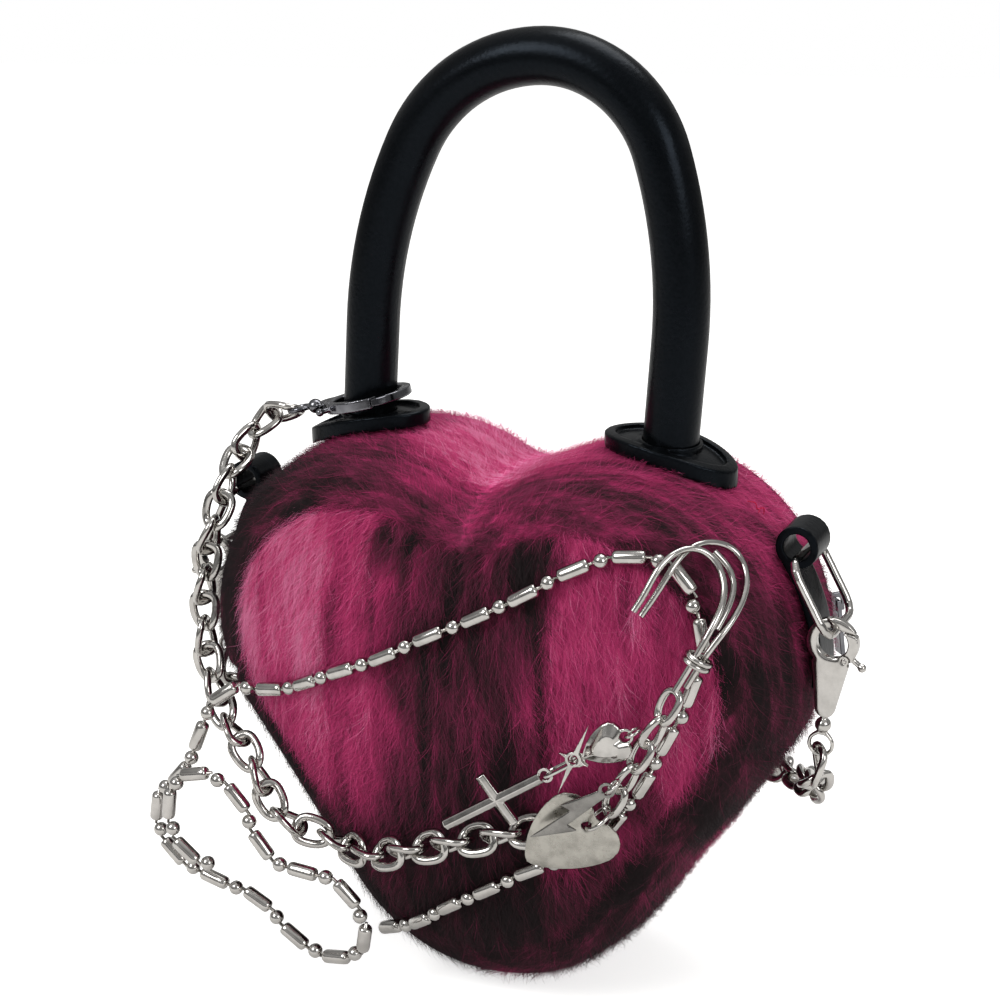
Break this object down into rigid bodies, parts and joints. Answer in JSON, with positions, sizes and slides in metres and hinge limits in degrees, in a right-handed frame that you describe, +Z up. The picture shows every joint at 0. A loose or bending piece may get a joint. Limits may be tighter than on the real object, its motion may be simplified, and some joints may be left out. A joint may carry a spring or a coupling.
{
  "type": "heart shaped handbag",
  "caption": "Heart shaped padded fabric handbag with a rolled arch handle, zipped back flap, shoulder chain and a draped chain with metal charms.",
  "frame": {"origin": "middle of the handle's grip, on the handle's centre line", "axes": "+Z up, +X to the right seen from the front, front panel faces -Y"},
  "size_m": [0.2308, 0.1216, 0.2988],
  "materials": {
    "mohair": "brushed plaid pile",
    "lining_cloth": "plain weave",
    "zip_cloth": "woven tape and coil",
    "black_leather": "fine grain, semi gloss",
    "core_plastic": "plain",
    "gunmetal": "dark polished",
    "steel": "polished plated"
  },
  "bodies": {
    "bag": {"back_panel_lower": "mohair", "bead_chain": "steel", "cable_links": "steel", "charm_chain": "steel", "clasp_left_body": "steel", "clasp_left_gate_pin": "steel", "clasp_left_swivel": "steel", "clasp_right_body": "steel", "clasp_right_gate_pin": "steel", "clasp_right_swivel": "steel", "front_panel": "mohair", "gusset_lower": "mohair", "gusset_upper": "mohair", "handle_backing_plates": "core_plastic", "handle_clasp_body": "gunmetal", "handle_clasp_gate_pin": "gunmetal", "handle_clasp_swivel": "gunmetal", "handle_core": "core_plastic", "handle_cover": "black_leather", "handle_foot_left": "black_leather", "handle_foot_right": "black_leather", "handle_screws": "steel", "hook_binding": "steel", "hook_wires": "steel", "lining": "lining_cloth", "shoulder_chain": "steel", "side_tab_left": "black_leather", "side_tab_right": "black_leather", "small_heart_ring": "steel", "zip_coil_gusset": "zip_cloth", "zip_stops": "steel", "zip_tape_gusset": "zip_cloth"},
    "flap": {"back_panel_upper": "mohair", "zip_tape_flap": "zip_cloth", "zip_coil_flap": "zip_cloth"},
    "zip_slider": {"zip_slider": "steel"},
    "zip_puller": {"zip_puller": "steel"},
    "link_left": {"side_link_left": "steel"},
    "link_right": {"side_link_right": "steel"},
    "gate_left": {"clasp_left_gate": "steel"},
    "gate_right": {"clasp_right_gate": "steel"},
    "gate_handle": {"handle_clasp_gate": "gunmetal"},
    "charm_end": {"cable_end_links": "steel", "heart_tag": "steel", "heart_tag_ring": "steel", "bolt_ring": "steel"},
    "bolt": {"bolt_charm": "steel"},
    "small_heart": {"small_heart_charm": "steel"},
    "cross": {"cross_charm": "steel", "cross_link": "steel", "star_charm": "steel"}
  },
  "joints": [
    {"name": "flap_opening", "type": "hinge", "parent": "bag", "child": "flap", "pos_m": [-0.012, 0.0494, -0.191], "axis": [-1, 0, 0], "range_deg": [0, 60]},
    {"name": "zip_slider_run", "type": "hinge", "parent": "flap", "child": "zip_slider", "pos_m": [0.0255, 0.034, -0.1745], "axis": [0, -1, 0], "range_deg": [0, 100]},
    {"name": "zip_puller_swing", "type": "hinge", "parent": "zip_slider", "child": "zip_puller", "pos_m": [0.08056, 0.03611, -0.16871], "axis": [0.6169, -0.7844, 0.0648], "range_deg": [0, 90]},
    {"name": "side_link_swing_right", "type": "hinge", "parent": "bag", "child": "link_right", "pos_m": [0.08129, -0.004, -0.13615], "axis": [0, 1, 0], "range_deg": [0, 5]},
    {"name": "side_link_swing_left", "type": "hinge", "parent": "bag", "child": "link_left", "pos_m": [-0.10529, -0.004, -0.13615], "axis": [0, -1, 0], "range_deg": [0, 5]},
    {"name": "clasp_gate_right", "type": "hinge", "parent": "bag", "child": "gate_right", "pos_m": [0.09692, -0.0125, -0.16745], "axis": [0, -1, 0], "range_deg": [0, 8], "stiffness_Nm_per_rad": 0.02},
    {"name": "clasp_gate_left", "type": "hinge", "parent": "bag", "child": "gate_left", "pos_m": [-0.12093, -0.0125, -0.16745], "axis": [0, 1, 0], "range_deg": [0, 8], "stiffness_Nm_per_rad": 0.02},
    {"name": "clasp_gate_handle", "type": "hinge", "parent": "bag", "child": "gate_handle", "pos_m": [-0.07196, -0.0097, -0.10874], "axis": [-0.2213, 0, 0.9752], "range_deg": [0, 9], "stiffness_Nm_per_rad": 0.02},
    {"name": "charm_end_lift", "type": "hinge", "parent": "bag", "child": "charm_end", "pos_m": [0.04859, -0.05489, -0.19131], "axis": [-0.856, -0.2534, 0.4505], "range_deg": [0, 40]},
    {"name": "bolt_charm_lift", "type": "hinge", "parent": "charm_end", "child": "bolt", "pos_m": [0.04353, -0.06214, -0.19622], "axis": [-0.6266, -0.1922, 0.7552], "range_deg": [0, 24]},
    {"name": "small_heart_lift", "type": "hinge", "parent": "bag", "child": "small_heart", "pos_m": [0.04678, -0.05615, -0.18157], "axis": [-0.5053, -0.1097, 0.856], "range_deg": [0, 28]},
    {"name": "cross_charm_lift", "type": "hinge", "parent": "small_heart", "child": "cross", "pos_m": [0.03325, -0.05896, -0.18992], "axis": [-0.5481, -0.1293, 0.8264], "range_deg": [0, 24]}
  ]
}
